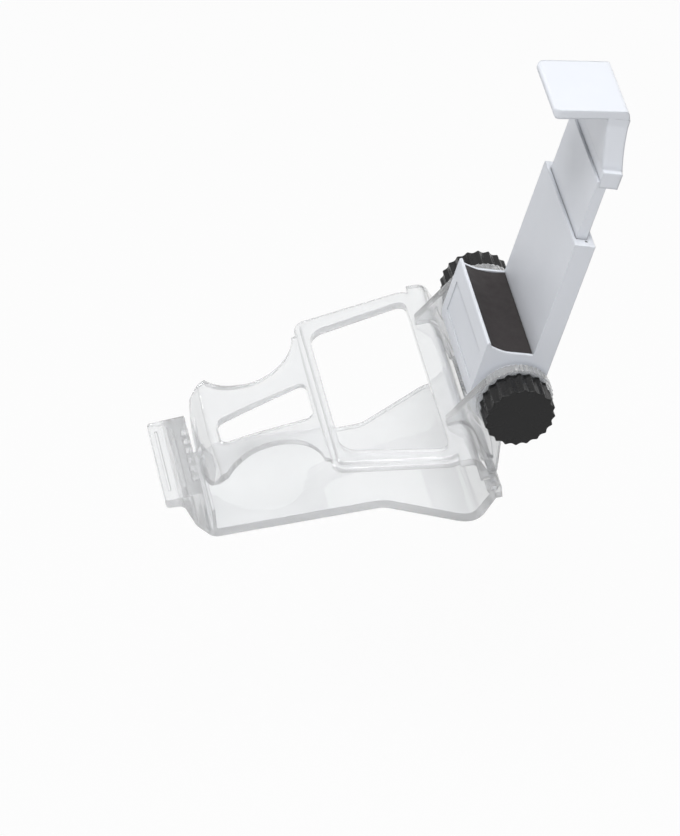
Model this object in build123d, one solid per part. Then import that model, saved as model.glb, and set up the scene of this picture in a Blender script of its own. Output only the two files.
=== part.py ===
from build123d import *
import os
from math import cos, pi, radians, sin

# Clip-on phone holder, in millimetres.
# X runs left to right, Y from the front latch to the phone clamp, Z up.
# The origin is the middle of the window frame's rear bar, on the frame's flat underside.

# Window frame
window_far_y = -2.0
window_depth = 30.2
window_near_half = 26.6
window_far_half = 33.7
window_near_radius = 6.0
window_far_radius = 2.6
frame_near_bar = 3.6
frame_far_bar = 5.4
frame_side_near = 6.4
frame_side_far = 6.6
frame_near_radius = 4.0
frame_far_radius = 6.5
frame_thickness = 2.4
frame_step_inset = 1.7
frame_step_height = 1.4
frame_edge_bevel = 0.45

# Rear wall, which drops from the frame to the hinge
wall_thickness = 2.0
wall_drop = 17.4
wall_lean = 2.4
wall_shoulder = 5.4
wall_top_half = 39.6
wall_low_margin = 1.0
wall_corner_drop = 9.0

# Tongue in front of the frame, between two round reliefs
tongue_thickness = 2.0
tongue_root_z = 1.2
tongue_mid_y = -56.0
tongue_mid_z = (-4.6, -1.9)
tongue_knee_y = -66.6
tongue_knee_z = (-7.4, -5.6)
tongue_valley_half = 15.0
tongue_front_y = -70.9
tongue_front_drop = 18.6
tongue_half = 21.0
tongue_edge_half = 19.8
tongue_front_corner = 4.0
tongue_edge_rise = 7.4
tongue_bend = 6.0
relief_half_spacing = 28.5
relief_y = -52.0
relief_radius = 14.9
slot_near_half = 7.9
slot_far_half = 5.1
slot_near_gap = 1.0
slot_length = 27.2
slot_corner = 2.4
notch_width = 3.4
notch_height = 4.6

# Tilt pivot, the ear discs that carry it, and their arms
pivot_y = 19.0
pivot_z = 7.7
ear_radius = 11.3
ear_gap = 2.1
ear_thickness = 2.65
ear_rim_height = 0.35
ear_rim_width = 0.8
arm_root_y = -0.8
arm_root_z = 4.2
arm_rear_y = 12.8
arm_rim = 1.7
arm_pocket_depth = 1.1
serration_count = 44
serration_depth = 0.3

# Rear hinge of the two clip halves
hinge_y = 10.8
hinge_z = -20.0
hinge_radius = 2.2
hinge_pin_radius = 0.9
hinge_inner_length = 8.2
hinge_outer_length = 4.2
hinge_ear_offset = 0.95
hinge_side_gap = 0.2
pin_end_inset = 0.4

# Lower clip
floor_top_z = -28.0
floor_thickness = 3.0
floor_rear_y = 4.5
clip_half = 17.2
clip_widen_y = -20.0
front_inner_y = -72.0
front_foot_y = -70.5
front_toe_y = -75.0
tab_tip_y = -83.2
tab_tip_z = -13.9
tab_root_z = -13.1
tab_thickness = 2.6
tab_groove_inset = (2.0, 6.7)
tab_groove_half = 13.0
tab_groove_width = 0.7
tab_groove_depth = 0.4
latch_tooth_count = 6
latch_tooth_pitch = 4.0
latch_tooth_radius = 1.1
stop_rib_gap = 1.9
stop_rib_thickness = 0.9
stop_rib_top_z = -20.6

# Fits
running_clearance = 0.05
seat_clearance = 0.05
face_gap = 0.1

# Phone clamp; its sections are drawn across (t) and along (s) its leaning arm, from the pivot
clamp_lean = 19.4
clamp_side_wall = 3.2
base_front_t = -11.9
base_lip_s = 16.0
base_lip_width = 1.1
base_bottom_s = -11.0
base_front_radius = 9.4
base_rear_radius = 8.0
panel_inset_s = 5.8
panel_height = 10.5
panel_side_inset = 3.5
panel_depth = 0.35
collar_radius = 9.5
pad_root_s = 13.1
pad_sag = 1.1
pad_thickness = 1.6
pad_rim = 0.8
arm_front_t = 2.85
arm_top_s = 53.5
arm_front_wall = 0.95
cover_thickness = 1.75
cover_side_inset = 1.0
cover_bottom_s = 1.0
channel_bottom_s = 4.3
guide_hole_radius = 0.45
guide_hole_depth = 3.0
guide_hole_wall = 1.0

# Slide and jaw
slide_half = 16.3
slide_thickness = 3.15
slide_clearance = 0.15
slide_top_s = 73.7
slide_bottom_s = 22.3
slide_travel_in = 17.5
slide_travel_out = 9.0
stop_groove_half = 2.3
stop_groove_depth = 1.3
stop_boss_s = 26.8
foot_bottom_s = 71.7
foot_top_s = 76.9
foot_rear_t = 10.5
foot_skin = 0.8
foot_cheek = 1.6
jaw_side_inset = 4.5
jaw_tip_t = -14.1
jaw_tip_s = 92.9
jaw_heel_t = 7.6
jaw_heel_s = 95.2
jaw_thickness = 2.9
jaw_web_bow = 0.45
jaw_web_foot_gain = 0.5
jaw_web_side_inset = 1.9
jaw_corner = 3.0
jaw_pad_thickness = 0.9
jaw_pad_inset = 1.6
jaw_pad_length = 11.5
jaw_screw_inset = 2.8
jaw_screw_length = 4.9

# Leaf springs that hold the slide where it is set
leaf_inset = 6.8
leaf_width = 5.0
leaf_length = 22.0
leaf_strip = 0.3
leaf_rise = 1.45
leaf_pocket_depth = 1.7
leaf_low_s = 24.6
leaf_seat_gap = 0.05

# Tilt knobs, their studs and inserts
knob_height = 7.6
knob_gap = 0.15
knob_tip_radius = 10.35
knob_ridge_count = 20
knob_flute_depth = 0.8
knob_chamfer = 0.5
stud_radius = 2.0
stud_reach = 10.6
stud_head_flats = 7.0
stud_head_height = 2.8
insert_radius = 3.0
insert_length = 9.0
insert_sink = 0.3

# Small screws
screw_shank_radius = 0.6
screw_head_radius = 1.0
screw_head_height = 0.7
screw_slot_width = 0.3
screw_slot_depth = 0.3
cover_screw_wall = 1.1
cover_screw_length = 5.0
cover_screw_s = 30.0
screw_end_gap = 0.2

# Values worked out from the sizes above
window_near_y = window_far_y - window_depth
frame_near_y = window_near_y - frame_near_bar
frame_far_y = window_far_y + frame_far_bar
frame_near_half = window_near_half + frame_side_near
frame_far_half = window_far_half + frame_side_far
clamp_half = slide_half + clamp_side_wall
panel_half = clamp_half - panel_side_inset
cover_half = clamp_half - cover_side_inset
cover_screw_x = slide_half + cover_screw_wall
guide_hole_x = slide_half + guide_hole_wall
jaw_half = slide_half - jaw_side_inset
jaw_screw_x = jaw_half - jaw_screw_inset
leaf_x = slide_half - leaf_inset
ear_inner_x = clamp_half + ear_gap
ear_outer_x = ear_inner_x + ear_thickness
knob_inner_x = ear_outer_x + knob_gap
knob_outer_x = knob_inner_x + knob_height
stud_tip_x = ear_inner_x - stud_reach
hinge_split_x = ear_outer_x + hinge_ear_offset
hinge_inner_x = hinge_split_x - hinge_inner_length
hinge_outer_x = hinge_split_x + hinge_outer_length
wall_low_half = hinge_outer_x + wall_low_margin
hinge_bore_radius = hinge_pin_radius + running_clearance
floor_z = floor_top_z - floor_thickness
channel_front_t = arm_front_t + arm_front_wall
slide_front_t = channel_front_t + slide_clearance
slide_rear_t = slide_front_t + slide_thickness
channel_rear_t = slide_rear_t + slide_clearance
arm_rear_t = channel_rear_t + cover_thickness
channel_half = slide_half + slide_clearance
collar_outer_x = ear_inner_x - face_gap
clamp_plane = Plane(
    origin=(0, pivot_y, pivot_z),
    x_dir=(0, cos(radians(clamp_lean)), -sin(radians(clamp_lean))),
    z_dir=(1, 0, 0),
)


def outline(points, radii):
    """Closed outline with one corner radius for each point."""
    return make_face(FilletPolyline(*points, radius=radii, close=True))


def both_sides(face, half):
    """Solid of a side profile that reaches half its width each way along X."""
    return extrude(face, amount=half, both=True)


def rod(radius, start_x, end_x, y, z):
    """Round bar along X between two stations."""
    return extrude(Plane((start_x, y, z), x_dir=(0, 1, 0), z_dir=(1, 0, 0)) * Circle(radius), end_x - start_x)


def clamp_box(half, low_t, high_t, low_s, high_s, x=0):
    """Box in the clamp's own directions, centred on one X station."""
    box = Box(high_t - low_t, high_s - low_s, 2 * half)
    return clamp_plane * Pos((low_t + high_t) / 2, (low_s + high_s) / 2, x) * box


def frame_outline():
    """Outer outline of the window frame."""
    points = [
        (-frame_near_half, frame_near_y),
        (frame_near_half, frame_near_y),
        (frame_far_half, frame_far_y),
        (-frame_far_half, frame_far_y),
    ]
    radii = [frame_near_radius, frame_near_radius, frame_far_radius, frame_far_radius]
    return outline(points, radii)


def window_outline():
    """Opening of the frame, wider at its far side."""
    points = [
        (-window_near_half, window_near_y),
        (window_near_half, window_near_y),
        (window_far_half, window_far_y),
        (-window_far_half, window_far_y),
    ]
    radii = [window_near_radius, window_near_radius, window_far_radius, window_far_radius]
    return outline(points, radii)


def frame_ring():
    """Stepped ring: a thin outer flange and a raised inner bar."""
    flange = extrude(frame_outline(), frame_step_height)
    raised = extrude(offset(frame_outline(), -frame_step_inset), frame_thickness)
    raised = chamfer(raised.edges().group_by(Axis.Z)[-1], frame_edge_bevel)
    flange = chamfer(flange.edges().group_by(Axis.Z)[-1], frame_edge_bevel)
    return flange + raised - extrude(window_outline(), frame_thickness)


def rear_wall():
    """Wall that rolls over from the frame and drops to the hinge."""
    low_y = hinge_y - hinge_radius / 2
    shoulder_y = low_y - wall_lean
    low_z = frame_thickness - wall_drop
    turn_z = frame_thickness - wall_shoulder
    points = [
        (window_far_y + frame_step_inset, frame_thickness),
        (shoulder_y - wall_lean, frame_thickness),
        (shoulder_y, turn_z),
        (low_y, low_z),
        (low_y - wall_thickness, low_z),
        (shoulder_y - wall_thickness, turn_z),
        (shoulder_y - wall_lean - wall_thickness / 2, 0),
        (window_far_y + frame_step_inset, 0),
    ]
    bend = wall_thickness
    profile = outline(points, [0, 2 * bend, 2 * bend, 0, 0, bend, bend, 0])
    wall = both_sides(Plane.YZ * profile, wall_top_half)
    corner_z = frame_thickness - wall_corner_drop
    rear_view = [
        (-wall_top_half, frame_thickness),
        (-wall_top_half, corner_z),
        (-wall_low_half, low_z),
        (wall_low_half, low_z),
        (wall_top_half, corner_z),
        (wall_top_half, frame_thickness),
    ]
    corner = wall_corner_drop / 2
    mask = outline(rear_view, [0, corner, corner, corner, corner, 0])
    return wall & extrude(Plane.XZ * mask, hinge_y + wall_drop, both=True)


def tongue_profile(mid_z, knee_z):
    """Side section of the tongue, from the frame over the front edge and down."""
    gauge = tongue_thickness
    low_z = frame_thickness - tongue_front_drop
    points = [
        (window_near_y, tongue_root_z),
        (tongue_mid_y, mid_z),
        (tongue_knee_y, knee_z),
        (tongue_front_y, knee_z - tongue_bend),
        (tongue_front_y, low_z),
        (tongue_front_y + gauge, low_z),
        (tongue_front_y + gauge, knee_z - tongue_bend),
        (tongue_knee_y + gauge / 2, knee_z - gauge),
        (tongue_mid_y + gauge / 4, mid_z - gauge),
        (window_near_y, 0),
    ]
    bend = tongue_bend
    return outline(points, [0, 3 * bend, bend / 2, bend, 0, 0, bend / 2, bend / 4, 3 * bend, 0])


def tongue_band():
    """Curved sheet of the tongue: a shallow valley between its raised sides."""
    sections = []
    for x in (-frame_near_half, -tongue_valley_half, 0, tongue_valley_half, frame_near_half):
        side = 0 if x == 0 else 1
        profile = tongue_profile(tongue_mid_z[side], tongue_knee_z[side])
        sections.append(Plane.YZ.offset(x) * profile)
    return loft(sections)


def tongue_plan():
    """Plan of the tongue: a waist between two round reliefs."""
    points = [
        (-frame_near_half + frame_near_radius, window_near_y),
        (frame_near_half - frame_near_radius, window_near_y),
        (tongue_half, relief_y),
        (tongue_half, tongue_knee_y + 2 * tongue_thickness),
        (tongue_edge_half, tongue_front_y),
        (-tongue_edge_half, tongue_front_y),
        (-tongue_half, tongue_knee_y + 2 * tongue_thickness),
        (-tongue_half, relief_y),
    ]
    corner = tongue_front_corner
    plan = outline(points, [0, 0, 0, corner / 2, corner, corner, corner / 2, 0])
    for side in (-1, 1):
        plan -= Pos(side * relief_half_spacing, relief_y) * Circle(relief_radius)
    return plan


def tongue_front_mask():
    """Front view of the tongue, whose lower edge rises towards its sides."""
    low_z = frame_thickness - tongue_front_drop
    side_z = low_z + tongue_edge_rise
    knee_z = tongue_knee_z[1]
    points = [
        (-tongue_half - relief_half_spacing, frame_thickness),
        (-tongue_half - relief_half_spacing, knee_z),
        (-tongue_half, knee_z),
        (-tongue_edge_half, side_z),
        (-slot_far_half, low_z),
        (slot_far_half, low_z),
        (tongue_edge_half, side_z),
        (tongue_half, knee_z),
        (tongue_half + relief_half_spacing, knee_z),
        (tongue_half + relief_half_spacing, frame_thickness),
    ]
    corner = tongue_bend / 3
    return outline(points, [0, 0, 0, corner, corner, corner, corner, 0, 0, 0])


def tongue_slot():
    """Tapered opening in the middle of the tongue."""
    near_y = frame_near_y - slot_near_gap
    points = [
        (-slot_near_half, near_y),
        (slot_near_half, near_y),
        (slot_far_half, near_y - slot_length),
        (-slot_far_half, near_y - slot_length),
    ]
    return outline(points, [slot_corner] * 4)


def tongue():
    """Clear tongue that wraps over at the front."""
    depth = 2 * tongue_front_drop
    body = tongue_band() & extrude(tongue_plan(), depth, both=True)
    body &= extrude(Plane.XZ * tongue_front_mask(), -2 * tongue_front_y, both=True)
    body -= extrude(tongue_slot(), depth, both=True)
    notch_z = frame_thickness - tongue_front_drop
    notch = Pos(0, tongue_front_y, notch_z) * Box(notch_width, 3 * tongue_thickness, 2 * notch_height)
    return body - notch


def arm_outline():
    """Side view of one arm, from the frame and the hinge up to the pivot."""
    wall_y = hinge_y - hinge_radius / 2 - wall_thickness
    reach = ear_radius * cos(radians(45))
    points = [
        (arm_root_y, 0),
        (arm_root_y, arm_root_z),
        (pivot_y - reach, pivot_z + reach),
        (pivot_y, pivot_z),
        (arm_rear_y + hinge_radius, pivot_z - ear_radius),
        (arm_rear_y, hinge_z + hinge_radius),
        (hinge_y - hinge_radius / 2, hinge_z),
        (wall_y, frame_thickness - wall_drop / 2),
        (wall_y - wall_lean - wall_thickness, 0),
    ]
    return outline(points, [0, 0, 0, 0, 0, 0, 0, 0, 0])


def arm_pocket_outline():
    """Sunk field that leaves a rim round the arm."""
    wall_y = hinge_y - hinge_radius / 2
    reach = (ear_radius + arm_rim) * cos(radians(45))
    points = [
        (arm_root_y + 3 * arm_rim, frame_thickness + arm_rim),
        (pivot_y - reach, pivot_z + reach - 2 * arm_rim),
        (pivot_y - reach + arm_rim, pivot_z - ear_radius),
        (arm_rear_y - arm_rim / 2, hinge_z + hinge_radius + 3 * arm_rim),
        (wall_y + arm_rim / 2, hinge_z + hinge_radius + 3 * arm_rim),
        (wall_y - wall_lean, frame_thickness - wall_shoulder),
    ]
    corner = arm_rim / 2
    field = outline(points, [corner, 0, 0, 0, 0, corner])
    return field - Pos(pivot_y, pivot_z) * Circle(ear_radius + arm_rim)


def serrated_disc():
    """Right-hand ear disc with a finely serrated rim and a shallow seat for the knob."""
    face = Plane((ear_inner_x, pivot_y, pivot_z), x_dir=(0, 1, 0), z_dir=(1, 0, 0))
    points = []
    for i in range(2 * serration_count):
        radius = ear_radius - serration_depth * (i % 2)
        angle = pi * i / serration_count
        points.append((radius * cos(angle), radius * sin(angle)))
    disc = face * extrude(make_face(Polyline(*points, close=True)), ear_thickness + ear_rim_height)
    return disc - rod(ear_radius - ear_rim_width, ear_outer_x, knob_outer_x, pivot_y, pivot_z)


def ear_arm():
    """Right-hand arm with its ear disc, serrations and stud hole."""
    plate = extrude(Plane.YZ.offset(ear_inner_x) * arm_outline(), ear_thickness)
    pocket = extrude(Plane.YZ.offset(ear_outer_x - arm_pocket_depth) * arm_pocket_outline(), ear_thickness)
    plate -= rod(ear_radius - ear_rim_width, 0, knob_outer_x, pivot_y, pivot_z)
    arm = plate - pocket + serrated_disc()
    return arm - rod(stud_radius + running_clearance, 0, knob_outer_x, pivot_y, pivot_z)


def upper_knuckle():
    """Right-hand hinge barrel of the upper clip, with the web that joins it to the wall."""
    start, end = hinge_inner_x, hinge_split_x
    barrel = rod(hinge_radius, start, end, hinge_y, hinge_z)
    web_height = frame_thickness - wall_drop - hinge_z + hinge_radius / 2
    web = Box(end - start, wall_thickness, web_height)
    web_y = hinge_y - hinge_radius / 2 - wall_thickness / 2
    return barrel + Pos((start + end) / 2, web_y, hinge_z + web_height / 2) * web


def hinge_bore():
    """Hole for one hinge pin, through every knuckle on the right-hand side."""
    return rod(hinge_bore_radius, hinge_inner_x - 1, hinge_outer_x + 1, hinge_y, hinge_z)


def top_clip():
    """Clear upper half: frame, rear wall, tongue, arms and hinge barrels in one moulding."""
    body = frame_ring() + rear_wall() + tongue()
    body -= extrude(window_outline(), frame_thickness, both=True)
    side = ear_arm() + upper_knuckle() - hinge_bore()
    return body + side + mirror(side, about=Plane.YZ)


def lower_profile():
    """Side section of the lower clip: thumb tab, front wall, floor and rear rise."""
    rise_y = hinge_y + hinge_radius - floor_thickness
    points = [
        (tab_tip_y, tab_tip_z),
        (front_inner_y, tab_root_z),
        (front_inner_y, floor_top_z),
        (floor_rear_y, floor_top_z),
        (rise_y, hinge_z - hinge_radius / 2),
        (hinge_y + hinge_radius, hinge_z - hinge_radius / 2),
        (floor_rear_y + floor_thickness / 2, floor_z),
        (front_foot_y, floor_z),
        (front_toe_y, floor_top_z + tab_thickness),
        (front_toe_y - floor_thickness, tab_root_z - 1.5 * tab_thickness),
        (tab_tip_y, tab_tip_z - tab_thickness),
    ]
    radii = [0.5, 0, 1.5, 4, 0, 0, 5, 4, 6, 2.2, 1]
    return outline(points, radii)


def lower_plan():
    """Plan of the lower clip, narrow at the front and as wide as the hinge behind."""
    points = [
        (-clip_half, tab_tip_y),
        (clip_half, tab_tip_y),
        (clip_half, clip_widen_y),
        (hinge_outer_x, floor_rear_y - floor_thickness),
        (hinge_outer_x, hinge_y + 2 * hinge_radius),
        (-hinge_outer_x, hinge_y + 2 * hinge_radius),
        (-hinge_outer_x, floor_rear_y - floor_thickness),
        (-clip_half, clip_widen_y),
    ]
    return outline(points, [1, 1, 8, 8, 0, 0, 8, 8])


def latch_teeth():
    """Row of small rounded teeth on the front wall's top edge, rooted in the tab."""
    radius = latch_tooth_radius
    root = -tab_thickness / 2
    first = -latch_tooth_pitch * (latch_tooth_count - 1) / 2
    points = [
        (-radius, root),
        (radius, root),
        (radius, radius / 4),
        (radius / 2, radius),
        (-radius / 2, radius),
        (-radius, radius / 4),
    ]
    section = make_face(Polyline(*points, close=True))
    teeth = []
    for i in range(latch_tooth_count):
        face = Plane.XZ * Pos(first + i * latch_tooth_pitch, tab_root_z, 0) * section
        teeth.append(Pos(0, front_inner_y, 0) * extrude(face, 2 * radius))
    return teeth


def tab_grooves():
    """Two shallow grip grooves across the thumb tab."""
    slope = (tab_root_z - tab_tip_z) / (front_inner_y - tab_tip_y)
    cuts = []
    for inset in tab_groove_inset:
        top_z = tab_tip_z + slope * inset
        cut = Box(2 * tab_groove_half, tab_groove_width, 2 * tab_groove_depth)
        cuts.append(Pos(0, tab_tip_y + inset, top_z) * cut)
    return cuts


def lower_knuckle():
    """Right-hand hinge barrel of the lower clip."""
    start = hinge_split_x + hinge_side_gap
    barrel = rod(hinge_radius, start, hinge_outer_x, hinge_y, hinge_z)
    web = Box(hinge_outer_x - start, floor_thickness, hinge_radius + floor_thickness / 2)
    web_y = hinge_y + hinge_radius - floor_thickness / 2
    return barrel + Pos((start + hinge_outer_x) / 2, web_y, hinge_z - web.bounding_box().size.Z / 2) * web


def lower_clip():
    """Clear lower half: hinge barrels, floor strap, front wall and thumb tab."""
    strap = both_sides(Plane.YZ * lower_profile(), hinge_outer_x)
    strap &= extrude(lower_plan(), -2 * floor_z, both=True)
    rib_y = front_inner_y + stop_rib_gap
    rib_height = stop_rib_top_z - floor_top_z
    rib = Pos(0, rib_y + stop_rib_thickness / 2, floor_top_z + rib_height / 2 - 0.5) * Box(
        2 * clip_half, stop_rib_thickness, rib_height + 1
    )
    swing_half = hinge_split_x + face_gap
    swing = rod(hinge_radius + 2 * face_gap, -swing_half, swing_half, hinge_y, hinge_z)
    strap = strap + rib - swing + latch_teeth()
    for cut in tab_grooves():
        strap -= cut
    side = lower_knuckle() - hinge_bore()
    return strap - hinge_bore() - mirror(hinge_bore(), about=Plane.YZ) + side + mirror(side, about=Plane.YZ)


def hinge_pin():
    """Right-hand hinge pin."""
    start, end = hinge_inner_x + pin_end_inset, hinge_outer_x - pin_end_inset
    return rod(hinge_pin_radius, start, end, hinge_y, hinge_z)


def pad_surface(lift, low_t, high_t, base_s):
    """Closed section under the pad's hollow top line, lowered by a lift and cut off at a base line."""
    front_s = base_lip_s - base_lip_width
    mid_t = (base_front_t + base_lip_width + arm_front_t) / 2
    mid_s = (front_s + pad_root_s) / 2 - pad_sag
    arc = ThreePointArc((low_t, front_s - lift), (mid_t, mid_s - lift), (high_t, pad_root_s - lift))
    rest = Polyline((high_t, pad_root_s - lift), (high_t, base_s), (low_t, base_s), (low_t, front_s - lift))
    return make_face([arc, rest])


def base_profile():
    """Side section of the base block below the phone."""
    points = [
        (base_front_t, base_lip_s),
        (base_front_t + base_lip_width, base_lip_s),
        (base_front_t + base_lip_width, pad_root_s),
        (arm_rear_t, pad_root_s),
        (arm_rear_t, base_bottom_s),
        (base_front_t, base_bottom_s),
    ]
    block = outline(points, [0.5, 0.5, 0, 0, base_rear_radius, base_front_radius])
    return block + pad_surface(0, base_front_t + base_lip_width, arm_front_t, 0)


def guide_hole(x, t):
    """Small eight-sided pin hole in the arm's top end."""
    hole = extrude(RegularPolygon(guide_hole_radius, 8), 2 * guide_hole_depth, both=True)
    return clamp_plane * Pos(t, arm_top_s + guide_hole_depth, x) * Rot(90, 0, 0) * hole


def clamp_shell():
    """White base and front of the arm in one moulding."""
    base = both_sides(clamp_plane * base_profile(), clamp_half)
    arm = clamp_box(clamp_half, arm_front_t, arm_rear_t, pad_root_s - 1, arm_top_s)
    body = base + arm
    for side in (-1, 1):
        body += rod(collar_radius, side * (clamp_half - 1), side * collar_outer_x, pivot_y, pivot_z)
    recess = pad_surface(0, base_front_t + base_lip_width, arm_front_t, base_lip_s)
    body -= both_sides(clamp_plane * recess, clamp_half - pad_rim)
    bed = pad_surface(pad_thickness + seat_clearance, base_front_t + base_lip_width, arm_front_t, base_lip_s)
    body -= both_sides(clamp_plane * bed, clamp_half - pad_rim)
    body -= clamp_box(channel_half, channel_front_t, channel_rear_t, channel_bottom_s, arm_top_s + 1)
    rebate_low = cover_bottom_s - seat_clearance
    body -= clamp_box(cover_half + seat_clearance, channel_rear_t, arm_rear_t + 1, rebate_low, arm_top_s + 1)
    panel_high = base_lip_s - panel_inset_s
    panel_low = panel_high - panel_height
    panel = clamp_box(panel_half, base_front_t - 1, base_front_t + panel_depth, panel_low, panel_high)
    body -= panel
    for side in (-1, 1):
        inner = collar_outer_x - insert_length
        body -= rod(insert_radius, side * inner, side * knob_outer_x, pivot_y, pivot_z)
        way = stud_radius + 4 * running_clearance
        body -= rod(way, side * (stud_tip_x - 1), side * clamp_half, pivot_y, pivot_z)
        hole_t = channel_rear_t - guide_hole_radius - seat_clearance
        body -= guide_hole(side * guide_hole_x, hole_t)
    for x, s in cover_screw_places():
        body -= cover_screw_bar(screw_shank_radius, x, s, -cover_screw_length, 0)
    return body


def cover_screw_places():
    """The two places where screws hold the back cover, half way up its sides."""
    return [(side * cover_screw_x, cover_screw_s) for side in (-1, 1)]


def cover_screw_bar(radius, x, s, low, high):
    """Round bar across the arm, measured from its rear face."""
    centre_t = arm_rear_t + (low + high) / 2
    return clamp_plane * Pos(centre_t, s, x) * Rot(0, 90, 0) * Cylinder(radius, high - low)


def back_cover():
    """Rear cover of the arm, with the boss that stops the slide."""
    plate = clamp_box(cover_half, channel_rear_t, arm_rear_t, cover_bottom_s, arm_top_s)
    boss_half = stop_groove_half - slide_clearance
    boss_t = slide_rear_t - stop_groove_depth + face_gap
    boss_low, boss_high = stop_boss_s - boss_half, stop_boss_s + boss_half
    plate += clamp_box(boss_half, boss_t, channel_rear_t + 1, boss_low, boss_high)
    for x, s in cover_screw_places():
        plate -= cover_screw_bar(screw_head_radius + running_clearance, x, s, -screw_head_height, 1)
        plate -= cover_screw_bar(screw_shank_radius, x, s, -cover_thickness, 0)
    return plate


def slotted_screw(length):
    """Small slotted screw, head up along Z with its top at the origin."""
    head = Pos(0, 0, -screw_head_height / 2) * Cylinder(screw_head_radius, screw_head_height)
    shank = Pos(0, 0, -length / 2) * Cylinder(screw_shank_radius, length)
    slot = Box(3 * screw_head_radius, screw_slot_width, 2 * screw_slot_depth)
    return head + shank - slot


def cover_screws():
    """Two screws of the back cover."""
    length = cover_screw_length - screw_end_gap
    return [
        clamp_plane * Pos(arm_rear_t, s, x) * Rot(0, 90, 0) * slotted_screw(length)
        for x, s in cover_screw_places()
    ]


def base_pad():
    """Rubber pad that the phone's edge stands on."""
    low_t = base_front_t + base_lip_width + seat_clearance
    high_t = arm_front_t - seat_clearance
    top = pad_surface(0, low_t, high_t, 0)
    under = pad_surface(pad_thickness, low_t, high_t, 0)
    return both_sides(clamp_plane * (top - under), clamp_half - pad_rim - seat_clearance)


def slide():
    """Flat plate that runs in the arm and carries the jaw."""
    plate = clamp_box(slide_half, slide_front_t, slide_rear_t, slide_bottom_s, slide_top_s)
    groove_low = stop_boss_s - stop_groove_half - slide_travel_out
    groove_high = stop_boss_s + stop_groove_half + slide_travel_in
    plate -= clamp_box(
        stop_groove_half, slide_rear_t - stop_groove_depth, slide_rear_t + 1, groove_low, groove_high
    )
    for side in (-1, 1):
        plate -= clamp_box(
            leaf_width / 2 + seat_clearance,
            slide_rear_t - leaf_pocket_depth,
            slide_rear_t + 1,
            leaf_low_s - seat_clearance,
            leaf_low_s + leaf_length + seat_clearance,
            side * leaf_x,
        )
        plate -= clamp_box(
            foot_cheek,
            slide_front_t + foot_skin,
            slide_rear_t + 1,
            foot_bottom_s - seat_clearance,
            slide_top_s + 1,
            side * slide_half,
        )
        plate -= jaw_screw_hole(side)
    return plate


def jaw_screw_place(side):
    """Axis of one jaw screw, with its head end at the foot's rear face."""
    centre_s = (foot_bottom_s + foot_top_s) / 2 - screw_head_radius / 2
    return clamp_plane * Pos(foot_rear_t, centre_s, side * jaw_screw_x) * Rot(0, 90, 0)


def jaw_screw_hole(side):
    """Blind hole for one jaw screw, from the foot's rear face."""
    hole = Pos(0, 0, -jaw_screw_length / 2) * Cylinder(screw_shank_radius, jaw_screw_length)
    return jaw_screw_place(side) * hole


def jaw_screws():
    """Two screws that hold the jaw to the slide."""
    length = jaw_screw_length - screw_end_gap
    return [jaw_screw_place(side) * slotted_screw(length) for side in (-1, 1)]


def jaw_web_profile():
    """Side section of the curved web between the jaw's foot and its top plate."""
    slope = (jaw_heel_s - jaw_tip_s) / (jaw_heel_t - jaw_tip_t)
    heel_t = foot_rear_t - jaw_web_bow
    inner_top = (jaw_heel_t - 2 * jaw_thickness + 0.6, jaw_heel_s - jaw_thickness - slope)
    outer_top = (jaw_heel_t + 1.3, jaw_heel_s - jaw_thickness)
    outer_low = (foot_rear_t + jaw_web_foot_gain, foot_top_s - 0.6)
    inner_low = (slide_front_t + foot_skin + 0.3, foot_top_s - 1.4)
    mid_outer = ((outer_top[0] + outer_low[0]) / 2 - jaw_web_bow, (outer_top[1] + outer_low[1]) / 2)
    mid_inner = ((inner_top[0] + inner_low[0]) / 2 - jaw_web_bow / 2, (inner_top[1] + inner_low[1]) / 2)
    outer = ThreePointArc(outer_top, mid_outer, outer_low)
    inner = ThreePointArc(inner_low, mid_inner, inner_top)
    foot = Polyline(outer_low, (heel_t, foot_top_s - 1.4), inner_low)
    top = Line(inner_top, outer_top)
    return make_face([outer, foot, inner, top])


def jaw_web_mask():
    """Front view of the web, a little wider at its foot than under the top plate."""
    face = clamp_plane * Plane(origin=(0, 0, 0), x_dir=(0, 0, 1), z_dir=(-1, 0, 0))
    low_half = slide_half - jaw_web_side_inset
    points = [
        (-low_half, foot_bottom_s),
        (low_half, foot_bottom_s),
        (low_half, foot_top_s),
        (jaw_half, jaw_tip_s - jaw_thickness),
        (jaw_half, jaw_heel_s),
        (-jaw_half, jaw_heel_s),
        (-jaw_half, jaw_tip_s - jaw_thickness),
        (-low_half, foot_top_s),
    ]
    return extrude(face * make_face(Polyline(*points, close=True)), 2 * foot_rear_t, both=True)


def jaw_plate_profile():
    """Side section of the jaw's top plate, which dips towards its tip."""
    points = [
        (jaw_tip_t, jaw_tip_s),
        (jaw_heel_t, jaw_heel_s),
        (jaw_heel_t + 1.3, jaw_heel_s - jaw_thickness),
        (jaw_heel_t - jaw_thickness, jaw_heel_s - jaw_thickness),
        (jaw_tip_t + 1.2, jaw_tip_s - jaw_thickness),
    ]
    return outline(points, [1.0, 1.4, 0.6, 0, 1.0])


def jaw_corner_mask():
    """Plan of the jaw's top plate with its rounded tip corners, as a tall block."""
    face = clamp_plane * Plane(origin=(0, 0, 0), x_dir=(1, 0, 0), z_dir=(0, 1, 0))
    points = [
        (jaw_tip_t, -jaw_half),
        (foot_rear_t, -jaw_half),
        (foot_rear_t, jaw_half),
        (jaw_tip_t, jaw_half),
    ]
    return extrude(face * outline(points, [jaw_corner, 0, 0, jaw_corner]), 2 * jaw_tip_s)


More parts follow.
